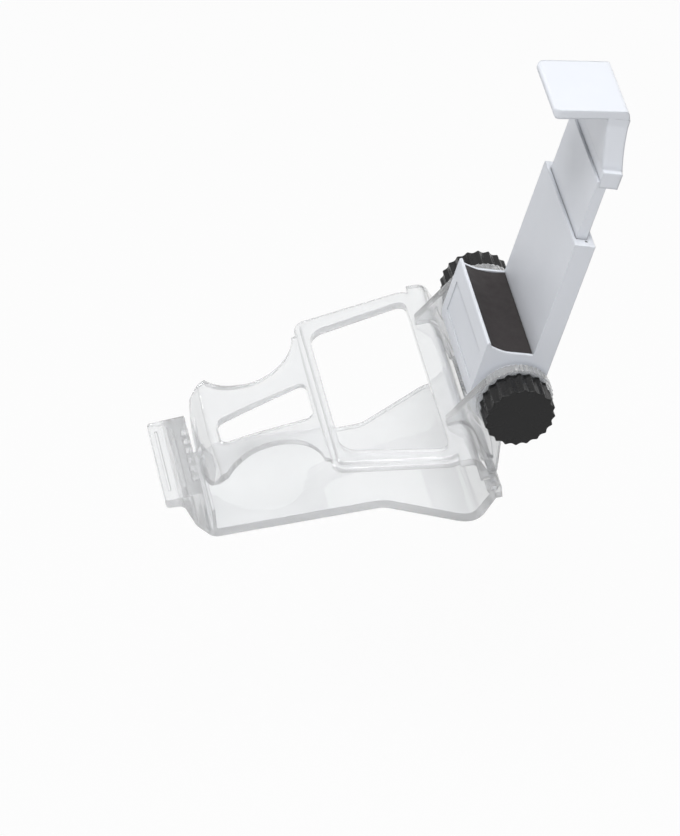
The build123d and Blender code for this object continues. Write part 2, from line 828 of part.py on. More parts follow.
def jaw():
    """White hooked jaw above the phone."""
    web = both_sides(clamp_plane * jaw_web_profile(), slide_half) & jaw_web_mask()
    plate = both_sides(clamp_plane * jaw_plate_profile(), jaw_half) & jaw_corner_mask()
    foot = clamp_box(slide_half, slide_front_t + foot_skin, foot_rear_t, foot_bottom_s, foot_top_s)
    inner_half = slide_half - foot_cheek + seat_clearance
    seat_top = slide_top_s + seat_clearance
    foot -= clamp_box(inner_half, 0, slide_rear_t + seat_clearance, foot_bottom_s - 1, seat_top)
    body = web + plate + foot
    for side in (-1, 1):
        head_seat = Cylinder(screw_head_radius + running_clearance, screw_head_height)
        body -= jaw_screw_place(side) * Pos(0, 0, -screw_head_height / 2) * head_seat
        body -= jaw_screw_hole(side)
    return body


def jaw_pad():
    """Thin rubber strip under the jaw's top plate."""
    heel = (jaw_heel_t - jaw_thickness, jaw_heel_s - jaw_thickness)
    tip = (jaw_tip_t + 1.2, jaw_tip_s - jaw_thickness)
    slope = (heel[1] - tip[1]) / (heel[0] - tip[0])
    low_t = tip[0] + jaw_pad_inset
    high_t = low_t + jaw_pad_length
    top = [(t, tip[1] + slope * (t - tip[0])) for t in (low_t, high_t)]
    under = [(t, s - jaw_pad_thickness) for t, s in reversed(top)]
    strip = make_face(Polyline(*top, *under, close=True))
    return both_sides(clamp_plane * strip, jaw_half - jaw_pad_inset)


def leaf_spring(side):
    """Bowed spring strip in a pocket of the slide, just clear of the back cover."""
    floor_t = slide_rear_t - leaf_pocket_depth + leaf_seat_gap
    mid_s = leaf_low_s + leaf_length / 2
    high_s = leaf_low_s + leaf_length
    top_t = floor_t + leaf_strip
    low = ThreePointArc((floor_t, leaf_low_s), (floor_t + leaf_rise, mid_s), (floor_t, high_s))
    high = ThreePointArc((top_t, leaf_low_s), (top_t + leaf_rise, mid_s), (top_t, high_s))
    ends = [Line(low @ 0, high @ 0), Line(low @ 1, high @ 1)]
    strip = clamp_plane.offset(side * leaf_x) * make_face([low, high, *ends])
    return extrude(strip, leaf_width / 2, both=True)


def knob_section(inset):
    """End view of a knob, drawn in by an inset: narrow ridges with hollow flutes between them."""
    pitch = 2 * pi / knob_ridge_count
    steps = [(-0.16, 0), (0.16, 0), (0.3, 0.65), (0.5, 1), (0.7, 0.65)]
    points = []
    for i in range(knob_ridge_count):
        for turn, depth in steps:
            radius = knob_tip_radius - inset - depth * knob_flute_depth
            points.append((radius * cos(pitch * (i + turn)), radius * sin(pitch * (i + turn))))
    return make_face(Polyline(*points, close=True))


def hexagon(flats):
    """Hexagon by its size across flats."""
    return RegularPolygon(flats / 2, 6, major_radius=False)


def knob(side):
    """Black ridged tilt knob, with the pocket that holds its stud's head."""
    face = Plane((knob_inner_x, pivot_y, pivot_z), x_dir=(0, 1, 0), z_dir=(1, 0, 0))
    length = knob_outer_x - knob_inner_x
    barrel = extrude(knob_section(0), length - knob_chamfer)
    rim = Pos(0, 0, length - knob_chamfer) * knob_section(0)
    end = Pos(0, 0, length) * knob_section(knob_chamfer)
    body = face * (barrel + loft([rim, end], ruled=True))
    body -= face * extrude(hexagon(stud_head_flats + 2 * seat_clearance), stud_head_height + seat_clearance)
    return body if side > 0 else mirror(body, about=Plane.YZ)


def knob_stud(side):
    """Hexagon-headed stud that turns with its knob."""
    face = Plane((knob_inner_x, pivot_y, pivot_z), x_dir=(0, 1, 0), z_dir=(1, 0, 0))
    body = face * extrude(hexagon(stud_head_flats), stud_head_height)
    body += rod(stud_radius, stud_tip_x, knob_inner_x + 1, pivot_y, pivot_z)
    return body if side > 0 else mirror(body, about=Plane.YZ)


def thread_insert(side):
    """Brass insert that the stud screws into."""
    body = rod(insert_radius, collar_outer_x - insert_length, collar_outer_x - insert_sink, pivot_y, pivot_z)
    body -= rod(stud_radius + running_clearance, 0, knob_outer_x, pivot_y, pivot_z)
    return body if side > 0 else mirror(body, about=Plane.YZ)


def all_parts():
    """Every node of the holder, by name."""
    pin = hinge_pin()
    parts = {
        "top_clip": top_clip(),
        "lower_clip": lower_clip(),
        "hinge_pin_right": pin,
        "hinge_pin_left": mirror(pin, about=Plane.YZ),
        "clamp_shell": clamp_shell(),
        "back_cover": back_cover(),
        "cover_screws": Compound(children=cover_screws()),
        "base_pad": base_pad(),
        "slide": slide(),
        "jaw": jaw(),
        "jaw_pad": jaw_pad(),
        "jaw_screws": Compound(children=jaw_screws()),
    }
    for name, side in (("left", -1), ("right", 1)):
        parts["leaf_spring_" + name] = leaf_spring(side)
        parts["tilt_knob_" + name] = knob(side)
        parts["knob_stud_" + name] = knob_stud(side)
        parts["thread_insert_" + name] = thread_insert(side)
    return parts


def main():
    """Write one STEP file for each node."""
    os.makedirs("parts", exist_ok=True)
    for name, part in all_parts().items():
        export_step(part, os.path.join("parts", name + ".step"))


if __name__ == "__main__":
    main()
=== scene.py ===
from math import cos, pi, radians, sin

import bmesh
import bpy
from bpy.props import FloatProperty, FloatVectorProperty, IntProperty, PointerProperty
from bpy.types import Operator, Panel, PropertyGroup
from mathutils import Matrix, Vector


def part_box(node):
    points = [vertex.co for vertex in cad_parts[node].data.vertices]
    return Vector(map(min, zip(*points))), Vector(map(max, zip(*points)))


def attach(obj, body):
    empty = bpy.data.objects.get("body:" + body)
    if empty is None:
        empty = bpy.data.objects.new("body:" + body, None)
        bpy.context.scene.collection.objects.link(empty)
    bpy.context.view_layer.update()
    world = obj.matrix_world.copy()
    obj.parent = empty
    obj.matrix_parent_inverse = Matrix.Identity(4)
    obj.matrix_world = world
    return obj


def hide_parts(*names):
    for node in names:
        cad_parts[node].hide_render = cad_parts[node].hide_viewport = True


bl_info = {
    "name": "Clip-on phone holder",
    "version": (1, 0, 0),
    "blender": (4, 5, 0),
    "location": "View3D > Sidebar > Holder",
    "description": "Clear two-part clip with a tilting white phone clamp",
    "category": "Add Mesh",
}

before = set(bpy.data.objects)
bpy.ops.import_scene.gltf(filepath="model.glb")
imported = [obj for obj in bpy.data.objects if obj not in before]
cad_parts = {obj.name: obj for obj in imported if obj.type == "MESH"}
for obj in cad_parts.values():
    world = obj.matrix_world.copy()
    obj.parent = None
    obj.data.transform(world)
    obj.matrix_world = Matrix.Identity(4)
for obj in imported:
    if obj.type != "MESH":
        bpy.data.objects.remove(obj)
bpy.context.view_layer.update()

# Where the clamp tilts, as the solids have it
PIVOT = Vector((0, 0.019, 0.0077))

# Knobs: the turn that sets their ridges as in the photograph, the pocket for a stud's head
# and the room round that head, the roundness of the ridges' tips as a share of the flutes'
# depth, and the points along one ridge
KNOB_TURN = radians(8.5)
POCKET_DEPTH = 0.0035
POCKET_ROOM = 0.0004
TIP_ROUNDING = 0.22
RIDGE_STEPS = 12

# Points closer than this are one point, and faces flatter to each other than this are one face
SAME_POINT = 2e-6
SAME_PLANE = radians(0.4)
# Edges that turn by more than this are rounded, each in this many steps
SHARP_EDGE = radians(30)
BEVEL_STEPS = 3
# Turns up to which the pads' and the knobs' faces are shaded as one
PAD_SMOOTH = radians(35)
KNOB_SMOOTH = radians(40)

# Reach of the light rub along outer edges, of the clear plastic's painted dark edge shade, and of
# the painted shade in hollows
RUB_REACH = 0.0004
CLEAR_EDGE_REACH = 0.00045
WHITE_HOLLOW = 0.0022
BLACK_HOLLOW = 0.0016
# Rays that the edge and hollow masks send out
MASK_RAYS = 8
# Share of the light that the clear plastic lets straight through
CLEAR_SHADOW = 0.86

WHITE = (1, 1, 1, 1)
# The floor lies below the lowest reach of the opened clip
FLOOR_HEIGHT = -0.112
FLOOR_REACH = 6.0
FLOOR_WHITENESS = 0.94

# Each lamp's setting, its place and its width
LAMPS = (
    ("overhead", (0.1, 0.15, 1.2), 0.9),
    ("side", (0.9, -0.3, 0.45), 0.6),
    ("front", (-0.35, -1.0, 0.3), 0.6),
    ("back", (-0.6, 1.0, 0.5), 0.7),
)
LAMP_AIM = Vector((0, -0.01, 0.03))
# The walls' shade low in the room, and the heights between which it turns to white
WALL_SHADE = 0.3
WALL_LOW = 0.1
WALL_HIGH = 0.55

# The photograph's view
VIEW_PLACE = (1.05609, -0.16748, 0.93723)
VIEW_RIGHT = (0.18627311, 0.98042765, -0.06374907)
VIEW_UP = (-0.64494366, 0.17096608, 0.74486125)
VIEW_BACK = (0.74118149, -0.09763306, 0.66416698)
VIEW_LENS = 259.4
FILM_WIDTH = 36.0


class FinishColours(PropertyGroup):
    """Colours of the holder's finishes."""

    white: FloatVectorProperty(
        name="White plastic",
        description="Colour of the phone clamp's mouldings",
        subtype="COLOR",
        min=0,
        max=1,
        default=(0.74, 0.765, 0.815),
    )
    clear: FloatVectorProperty(
        name="Clear plastic",
        description="Tint of the clear clip",
        subtype="COLOR",
        min=0,
        max=1,
        default=(0.79, 0.796, 0.802),
    )
    knob: FloatVectorProperty(
        name="Knobs",
        description="Colour of the tilt knobs",
        subtype="COLOR",
        min=0,
        max=1,
        default=(0.01, 0.01, 0.0103),
    )
    rubber: FloatVectorProperty(
        name="Rubber",
        description="Colour of the grip pads",
        subtype="COLOR",
        min=0,
        max=1,
        default=(0.036, 0.032, 0.0323),
    )
    steel: FloatVectorProperty(
        name="Steel",
        description="Colour of the pins, screws, studs and springs",
        subtype="COLOR",
        min=0,
        max=1,
        default=(0.62, 0.63, 0.65),
    )
    brass: FloatVectorProperty(
        name="Brass",
        description="Colour of the thread inserts",
        subtype="COLOR",
        min=0,
        max=1,
        default=(0.72, 0.53, 0.24),
    )


class DetailSizes(PropertyGroup):
    """Sizes of the edges and the grip."""

    clear_edge: FloatProperty(
        name="Clear edges",
        description="Radius that the clear mouldings' edges show",
        default=0.0006,
        min=0.00005,
        max=0.0012,
        precision=5,
        unit="LENGTH",
        subtype="DISTANCE",
    )
    white_edge: FloatProperty(
        name="White edges",
        description="Radius that the edges of the clamp shell, its cover and the slide show",
        default=0.0004,
        min=0.00005,
        max=0.0012,
        precision=5,
        unit="LENGTH",
        subtype="DISTANCE",
    )
    jaw_edge: FloatProperty(
        name="Jaw edges",
        description="Radius that the jaw's edges show",
        default=0.0011,
        min=0.00005,
        max=0.0014,
        precision=5,
        unit="LENGTH",
        subtype="DISTANCE",
    )
    pad_edge: FloatProperty(
        name="Pad edges",
        description="Radius on the edges of the grip pads and the knobs' rims",
        default=0.00025,
        min=0.00005,
        max=0.0006,
        precision=5,
        unit="LENGTH",
        subtype="DISTANCE",
    )
    ridge_count: IntProperty(
        name="Knob ridges",
        description="Number of grip ridges round each knob",
        default=20,
        min=8,
        max=48,
    )
    ridge_depth: FloatProperty(
        name="Ridge depth",
        description="Depth of the flutes between the ridges",
        default=0.0009,
        min=0.0001,
        max=0.002,
        precision=5,
        unit="LENGTH",
        subtype="DISTANCE",
    )


class StageLight(PropertyGroup):
    """Strength of the studio light."""

    overhead: FloatProperty(
        name="Overhead lamp",
        description="Power of the wide lamp above",
        default=12.5,
        min=0,
        unit="POWER",
    )
    side: FloatProperty(
        name="Side lamp",
        description="Power of the soft lamp on the camera's side",
        default=3.6,
        min=0,
        unit="POWER",
    )
    front: FloatProperty(
        name="Front lamp",
        description="Power of the soft lamp in front of the clip's tab",
        default=2.3,
        min=0,
        unit="POWER",
    )
    back: FloatProperty(
        name="Back lamp",
        description="Power of the soft lamp behind the clamp",
        default=2.4,
        min=0,
        unit="POWER",
    )
    ambient: FloatProperty(
        name="Room light",
        description="Strength of the even light from all sides",
        default=0.2,
        min=0,
    )


class NodeTree:
    """A node tree, with short calls for its nodes."""

    def __init__(self, tree):
        self.tree = tree
        tree.nodes.clear()

    def add(self, kind, links=None, values=None, **settings):
        """A node of this kind, with its settings, socket values and incoming links."""
        node = self.tree.nodes.new(kind)
        for key, value in settings.items():
            setattr(node, key, value)
        for key, value in (values or {}).items():
            node.inputs[key].default_value = value
        for key, source in (links or {}).items():
            self.tree.links.new(source, node.inputs[key])
        return node

    def math(self, operation, first, second):
        """Two sockets or numbers worked into one."""
        node = self.add("ShaderNodeMath", operation=operation)
        for socket, value in zip(node.inputs, (first, second)):
            if isinstance(value, float):
                socket.default_value = value
            else:
                self.tree.links.new(value, socket)
        return node.outputs[0]

    def between(self, source, low, high, start=0.3, end=0.7):
        """The source's range from start to end, spread from low to high."""
        values = {"From Min": start, "From Max": end, "To Min": low, "To Max": high}
        return self.add("ShaderNodeMapRange", {"Value": source}, values).outputs["Result"]

    def seen_plainly(self):
        """Where the camera, gloss and clear plastic look straight at a surface."""
        path = self.add("ShaderNodeLightPath").outputs
        seen = self.math("MAXIMUM", path["Is Camera Ray"], path["Is Glossy Ray"])
        return self.math("MAXIMUM", seen, path["Is Transmission Ray"])


class FinishTree(NodeTree):
    """A new material's node tree."""

    def __init__(self, name):
        self.material = bpy.data.materials.new(name)
        self.material.use_nodes = True
        super().__init__(self.material.node_tree)
        self.object_place = self.add("ShaderNodeTexCoord").outputs["Object"]

    def noise(self, scale, detail, stretch=None):
        """Grain of one size: features about 1 / scale metres across."""
        place = self.object_place
        if stretch:
            place = self.add("ShaderNodeMapping", {"Vector": place}, {"Scale": stretch}).outputs[0]
        values = {"Scale": scale, "Detail": detail, "Roughness": 0.55}
        return self.add("ShaderNodeTexNoise", {"Vector": place}, values).outputs["Fac"]

    def mix(self, factor, tone):
        """A mix of colours with this tone at its far end: its near socket and its result."""
        node = self.add("ShaderNodeMix", {"Factor": factor}, data_type="RGBA", blend_type="MIX")
        near, far = [socket for socket in node.inputs if socket.type == "RGBA"]
        far.default_value = (*tone, 1)
        return near, [socket for socket in node.outputs if socket.type == "RGBA"][0]

    def tones(self, source, dark, light):
        """A colour between two tones, driven by the source."""
        near, mixed = self.mix(source, light)
        near.default_value = (*dark, 1)
        return mixed

    def blend(self, factor, base, tone):
        """The base colour with a second tone laid over it by the factor."""
        near, mixed = self.mix(factor, tone)
        self.tree.links.new(base, near)
        return mixed

    def rub_and_shade_edges(self, radius, low=0.03, high=0.25):
        """A mask of the edges, where hands rub, and where the clear plastic gets painted dark edge
        shade.
        """
        plain = self.add("ShaderNodeNewGeometry").outputs["Normal"]
        sides = {0: self.soft_edges(radius), 1: plain}
        turn = self.add("ShaderNodeVectorMath", sides, operation="DOT_PRODUCT")
        bent = self.math("SUBTRACT", 1.0, turn.outputs["Value"])
        return self.between(bent, 0, 1, low, high)

    def soft_edges(self, radius):
        """The surface's direction with every edge seen as rounded."""
        node = self.add("ShaderNodeBevel", values={"Radius": radius}, samples=MASK_RAYS)
        return node.outputs["Normal"]

    def crease_shade(self, reach, start, end):
        """A mask of the hollows and inner corners, as deep as the reach, for painting shade into
        them.
        """
        values = {"Distance": reach}
        node = self.add("ShaderNodeAmbientOcclusion", values=values, samples=MASK_RAYS)
        return self.between(node.outputs["AO"], 1, 0, start, end)

    def edge_on(self, normal, start, end):
        """A mask that grows where the surface turns away from the eye."""
        node = self.add("ShaderNodeLayerWeight", {"Normal": normal}, {"Blend": 0.5})
        return self.between(node.outputs["Facing"], 0, 1, start, end)

    def bump(self, height, depth, strength, under=None):
        """A surface raised by the height, depth metres at most."""
        links = {"Height": height}
        if under:
            links["Normal"] = under
        values = {"Distance": depth, "Strength": strength}
        return self.add("ShaderNodeBump", links, values).outputs["Normal"]

    def surface(self, colour, roughness, normal, values):
        """The shader with its maps and the values that are the same all over."""
        maps = {"Base Color": colour, "Roughness": roughness, "Normal": normal}
        return self.add("ShaderNodeBsdfPrincipled", maps, values).outputs[0]

    def finish(self, surface):
        """The material with this surface."""
        self.add("ShaderNodeOutputMaterial", {"Surface": surface})
        return self.material


def clear_plastic(colours, sizes):
    """Polished clear plastic: milky body, painted grey edge shade, faint flow waves and hand
    marks.
    """
    tree = FinishTree("clear_plastic")
    clear = Vector(colours.clear)
    soft = tree.soft_edges(sizes.clear_edge)
    flow = tree.bump(tree.noise(scale=45, detail=2), depth=0.00022, strength=0.5, under=soft)
    marks = tree.between(tree.noise(scale=160, detail=4), low=0.02, high=0.1)
    body = tree.tones(tree.noise(scale=60, detail=3), dark=clear * 0.985, light=clear)
    # Painted shade: the body colour turns darker grey where the surface turns edge-on to the eye
    painted_edge_on_shade = tree.blend(tree.edge_on(soft, start=0.5, end=0.95), body, tone=clear * 0.66)
    # Painted shade: darker grey lines painted along the edges
    edges = tree.rub_and_shade_edges(CLEAR_EDGE_REACH, low=0.02, high=0.3)
    painted_edge_shade = tree.blend(edges, painted_edge_on_shade, tone=clear * 0.56)
    glass = tree.surface(
        painted_edge_shade,
        marks,
        flow,
        {
            "Transmission Weight": 0.73,
            "IOR": 1.45,
            "Coat Weight": 1.0,
            "Coat Roughness": 0.04,
            "Coat IOR": 1.5,
        },
    )
    # Most light passes straight through, so that the clip throws only a pale shadow
    shadow = tree.add("ShaderNodeLightPath").outputs["Is Shadow Ray"]
    share = tree.math("MULTIPLY", shadow, CLEAR_SHADOW)
    way = tree.add("ShaderNodeBsdfTransparent", values={"Color": (0.93, 0.94, 0.95, 1)})
    mixed = tree.add("ShaderNodeMixShader", {0: share, 1: glass, 2: way.outputs[0]})
    return tree.finish(mixed.outputs[0])


def satin_white(name, colours, edge):
    """Bluish white moulded plastic with a fine spark-eroded satin grain and painted shade in its
    hollows.
    """
    tree = FinishTree(name)
    white = Vector(colours.white)
    body = tree.tones(tree.noise(scale=70, detail=3), dark=white * 0.975, light=white * 1.015)
    rubbed = tree.blend(tree.rub_and_shade_edges(RUB_REACH), body, tone=white * 1.05)
    # Painted shade: the colour turns darker in hollows and inner corners
    hollow_shade = tree.crease_shade(WHITE_HOLLOW, start=0.35, end=0.9)
    colour = tree.blend(hollow_shade, rubbed, tone=white * 0.6)
    fine = tree.noise(scale=4200, detail=2)
    grain = tree.bump(fine, depth=0.000018, strength=0.5, under=tree.soft_edges(edge))
    flow = tree.bump(tree.noise(scale=38, detail=2), depth=0.0001, strength=0.25, under=grain)
    sheen = tree.between(tree.noise(scale=220, detail=4), low=0.36, high=0.5)
    return tree.finish(
        tree.surface(colour, sheen, flow, {"IOR": 1.5, "Specular IOR Level": 0.45})
    )


def white_plastic(colours, sizes):
    """The white plastic on the shell, its cover and the slide."""
    return satin_white("white_plastic", colours, sizes.white_edge)


def white_round_plastic(colours, sizes):
    """The white plastic on the jaw, a moulding with rounder edges."""
    return satin_white("white_round_plastic", colours, sizes.jaw_edge)


def black_plastic(colours, sizes):
    """Satin black plastic, with painted shade darkening the flutes, and greyer where fingers turn
    it.
    """
    tree = FinishTree("black_plastic")
    black = Vector(colours.knob)
    body = tree.tones(tree.noise(scale=140, detail=3), dark=black * 0.85, light=black * 1.2)
    rubbed = tree.blend(tree.rub_and_shade_edges(RUB_REACH), body, tone=black * 2.2)
    # Painted shade: the flutes and hollows are painted nearly black
    hollow_shade = tree.crease_shade(BLACK_HOLLOW, start=0.62, end=0.92)
    colour = tree.blend(hollow_shade, rubbed, tone=black * 0.1)
    grain = tree.bump(tree.noise(scale=3600, detail=2), depth=0.00003, strength=0.6)
    sheen = tree.between(tree.noise(scale=260, detail=4), low=0.2, high=0.32)
    return tree.finish(
        tree.surface(colour, sheen, grain, {"IOR": 1.5, "Specular IOR Level": 0.24})
    )


def dark_rubber(colours, sizes):
    """Matt dark rubber with an even fine grain and a little dust."""
    tree = FinishTree("dark_rubber")
    rubber = Vector(colours.rubber)
    body = tree.tones(tree.noise(scale=900, detail=4), dark=rubber * 0.88, light=rubber * 1.14)
    dust = tree.between(tree.noise(scale=120, detail=5), low=0, high=0.16, start=0.5, end=0.85)
    colour = tree.blend(dust, body, tone=rubber * 2.4)
    grain = tree.bump(tree.noise(scale=2600, detail=3), depth=0.00006, strength=0.7)
    dull = tree.between(tree.noise(scale=300, detail=3), low=0.62, high=0.8)
    return tree.finish(
        tree.surface(colour, dull, grain, {"IOR": 1.5, "Specular IOR Level": 0.22})
    )


def bright_steel(colours, sizes):
    """Drawn steel with fine lines along its length."""
    tree = FinishTree("bright_steel")
    steel = Vector(colours.steel)
    lines = tree.noise(scale=2400, detail=3, stretch=(0.08, 1, 1))
    colour = tree.tones(lines, dark=steel * 0.85, light=steel * 1.12)
    grain = tree.bump(lines, depth=0.00001, strength=0.5)
    sheen = tree.between(tree.noise(scale=700, detail=3), low=0.2, high=0.36)
    return tree.finish(tree.surface(colour, sheen, grain, {"Metallic": 1.0}))


def turned_brass(colours, sizes):
    """Turned brass, knurled round and a little dulled."""
    tree = FinishTree("turned_brass")
    brass = Vector(colours.brass)
    colour = tree.tones(tree.noise(scale=500, detail=4), dark=brass * 0.75, light=brass * 1.08)
    knurl = tree.noise(scale=1500, detail=1, stretch=(0.2, 1, 1))
    grain = tree.bump(knurl, depth=0.00008, strength=0.8)
    sheen = tree.between(tree.noise(scale=800, detail=3), low=0.26, high=0.45)
    return tree.finish(tree.surface(colour, sheen, grain, {"Metallic": 1.0}))


FINISHES = {
    "clear_plastic": clear_plastic,
    "white_plastic": white_plastic,
    "white_round_plastic": white_round_plastic,
    "black_plastic": black_plastic,
    "dark_rubber": dark_rubber,
    "steel": bright_steel,
    "brass": turned_brass,
}
made_finishes = {}


def finish_for(slot):
    """The one material that every piece of this slot shares."""
    if slot not in made_finishes:
        scene = bpy.context.scene
        made_finishes[slot] = FINISHES[slot](scene.holder_colours, scene.holder_sizes)
    return made_finishes[slot]


def dress_node(node, slot):
    """Gives a carried-over solid its finish."""
    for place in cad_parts[node].material_slots:
        place.material = finish_for(slot)


def joined_copy(node):
    """A carried-over solid's shape, its loose triangles joined into whole faces."""
    bm = bmesh.new()
    bm.from_mesh(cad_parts[node].data)
    bmesh.ops.remove_doubles(bm, verts=bm.verts, dist=SAME_POINT)
    bmesh.ops.recalc_face_normals(bm, faces=bm.faces)
    bmesh.ops.dissolve_limit(
        bm,
        angle_limit=SAME_PLANE,
        use_dissolve_boundaries=False,
        verts=bm.verts,
        edges=bm.edges,
    )
    return bm


def round_edges(bm, edges, radius):
    """Rounds these edges, by less where there is no room."""
    bmesh.ops.bevel(
        bm,
        geom=edges,
        offset=radius,
        affect="EDGES",
        segments=BEVEL_STEPS,
        profile=0.5,
        material=-1,
        clamp_overlap=True,
    )


def place_piece(bm, name, body, slot, node, smooth_turn):
    """Makes the shape a piece that rides on its body and stands for its solid."""
    mesh = bpy.data.meshes.new(name)
    bm.to_mesh(mesh)
    bm.free()
    kept = mesh.attributes.get("custom_normal")
    if kept:
        mesh.attributes.remove(kept)
    mesh.materials.append(finish_for(slot))
    mesh.shade_smooth()
    mesh.set_sharp_from_angle(angle=smooth_turn)
    piece = bpy.data.objects.new(name, mesh)
    bpy.context.scene.collection.objects.link(piece)
    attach(piece, body)
    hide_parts(node)


def rounded_solid(node, name, body, slot, radius):
    """The solid again as a piece with rounded edges."""
    bm = joined_copy(node)
    sharp = [edge for edge in bm.edges if edge.calc_face_angle(0) > SHARP_EDGE]
    round_edges(bm, sharp, radius)
    place_piece(bm, name, body, slot, node, PAD_SMOOTH)


class HOLDER_OT_clear_clip(Operator):
    """Gives the top clip and the lower clip their clear plastic."""

    bl_idname = "holder.clear_clip"
    bl_label = "Clear clip"

    def execute(self, context):
        for node in ("top_clip", "lower_clip"):
            dress_node(node, "clear_plastic")
        return {"FINISHED"}


class HOLDER_OT_hinge_pins(Operator):
    """Gives the two hinge pins drawn steel."""

    bl_idname = "holder.hinge_pins"
    bl_label = "Hinge pins"

    def execute(self, context):
        for side in ("left", "right"):
            dress_node("hinge_pin_" + side, "steel")
        return {"FINISHED"}


class HOLDER_OT_clamp_shell(Operator):
    """Gives the clamp's shell and back cover their white plastic."""

    bl_idname = "holder.clamp_shell"
    bl_label = "Clamp shell"

    def execute(self, context):
        for node in ("clamp_shell", "back_cover"):
            dress_node(node, "white_plastic")
        return {"FINISHED"}


class HOLDER_OT_slide_and_jaw(Operator):
    """Gives the sliding plate and the jaw their white plastic."""

    bl_idname = "holder.slide_and_jaw"
    bl_label = "Slide and jaw"

    def execute(self, context):
        dress_node("slide", "white_plastic")
        dress_node("jaw", "white_round_plastic")
        return {"FINISHED"}


class HOLDER_OT_grip_pads(Operator):
    """Makes the rubber strips that the phone rests against."""

    bl_idname = "holder.grip_pads"
    bl_label = "Grip pads"

    def execute(self, context):
        edge = context.scene.holder_sizes.pad_edge
        rounded_solid("base_pad", "grip_pad_low", "clamp", "dark_rubber", edge)
        rounded_solid("jaw_pad", "grip_pad_high", "jaw_slide", "dark_rubber", edge)
        return {"FINISHED"}


class HOLDER_OT_small_metal(Operator):
    """Gives the screws, studs, springs and inserts their metals."""

    bl_idname = "holder.small_metal"
    bl_label = "Screws, studs and springs"

    def execute(self, context):
        for node in ("cover_screws", "jaw_screws"):
            dress_node(node, "steel")
        for side in ("left", "right"):
            dress_node("knob_stud_" + side, "steel")
            dress_node("leaf_spring_" + side, "steel")
            dress_node("thread_insert_" + side, "brass")
        return {"FINISHED"}


def points_of(made):
    """The points among what an operator made."""
    return [item for item in made["geom"] if isinstance(item, bmesh.types.BMVert)]


def edges_among(bm, points):
    """The edges that run from one of these points to another."""
    return [edge for edge in bm.edges if all(vert in points for vert in edge.verts)]


def ridged_loop(bm, radius, depth, count):
    """A closed line round the knob: narrow round ridges with hollow flutes between them."""
    pitch = 2 * pi / count
    profile = []
    for step in range(RIDGE_STEPS + 1):
        share = step / RIDGE_STEPS
        swing = KNOB_TURN + share * pitch
        wave = (sin(pi * share) ** 2 + TIP_ROUNDING**2) ** 0.5 - TIP_ROUNDING
        hollow = wave / (1 + TIP_ROUNDING**2) ** 0.5
        reach = radius - depth * hollow
        profile.append(bm.verts.new((0, reach * cos(swing), reach * sin(swing))))
    line = [bm.edges.new(pair) for pair in zip(profile, profile[1:])]
    bmesh.ops.spin(
        bm,
        geom=profile + line,
        cent=(0, 0, 0),
        axis=(1, 0, 0),
        angle=2 * pi,
        steps=count,
        use_duplicate=True,
        use_merge=True,
    )
    bmesh.ops.remove_doubles(bm, verts=bm.verts, dist=SAME_POINT)


class HOLDER_OT_tilt_knobs(Operator):
    """Makes the two ridged tilt knobs, each with a round pocket for its stud's head."""

    bl_idname = "holder.tilt_knobs"
    bl_label = "Tilt knobs"

    def execute(self, context):
        sizes = context.scene.holder_sizes
        for side in ("left", "right"):
            self.make_knob(side, sizes)
        return {"FINISHED"}

    def make_knob(self, side, sizes):
        """One knob, shaped along X from its ear outwards and then set on the tilt axis."""
        low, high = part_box("tilt_knob_" + side)
        radius = (high[2] - low[2]) / 2
        length = high[0] - low[0]
        head_low, head_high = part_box("knob_stud_" + side)
        pocket = (head_high[2] - head_low[2]) / 2 + POCKET_ROOM

        bm = bmesh.new()
        ridged_loop(bm, radius, sizes.ridge_depth, sizes.ridge_count)
        near = bm.verts[:]
        far = points_of(bmesh.ops.extrude_edge_only(bm, edges=bm.edges[:]))
        bmesh.ops.translate(bm, verts=far, vec=(length, 0, 0))
        inner = edges_among(bm, near)
        bmesh.ops.contextual_create(bm, geom=edges_among(bm, far))

        circle = bmesh.ops.create_circle(bm, cap_ends=False, radius=pocket, segments=len(inner))
        hole = circle["verts"]
        bmesh.ops.rotate(bm, verts=hole, matrix=Matrix.Rotation(pi / 2, 3, "Y"))
        ring = edges_among(bm, hole)
        bmesh.ops.bridge_loops(bm, edges=inner + ring)
        floor = points_of(bmesh.ops.extrude_edge_only(bm, edges=ring))
        bmesh.ops.translate(bm, verts=floor, vec=(POCKET_DEPTH, 0, 0))
        bmesh.ops.contextual_create(bm, geom=edges_among(bm, floor))
        bmesh.ops.recalc_face_normals(bm, faces=bm.faces)

        round_edges(bm, edges_among(bm, far), sizes.pad_edge)
        end = max(bm.faces, key=lambda face: face.calc_center_median().x)
        bmesh.ops.inset_region(bm, faces=[end], thickness=sizes.pad_edge, use_even_offset=True)

        start = low[0]
        if side == "left":
            start = high[0]
            bmesh.ops.scale(bm, verts=bm.verts, vec=(-1, 1, 1))
            bmesh.ops.recalc_face_normals(bm, faces=bm.faces)
        bmesh.ops.translate(bm, verts=bm.verts, vec=(start, PIVOT.y, PIVOT.z))
        place_piece(
            bm,
            "ridged_knob_" + side,
            "knob_" + side,
            "black_plastic",
            "tilt_knob_" + side,
            KNOB_SMOOTH,
        )


def white_to_the_eye(tree, surface, share):
    """Mixes in plain white for what the camera, gloss and clear plastic see."""
    seen = tree.math("MULTIPLY", tree.seen_plainly(), share)
    white = tree.add("ShaderNodeEmission", values={"Color": WHITE, "Strength": 1.0})
    mixed = tree.add("ShaderNodeMixShader", {0: seen, 1: surface, 2: white.outputs[0]})
    return mixed.outputs[0]


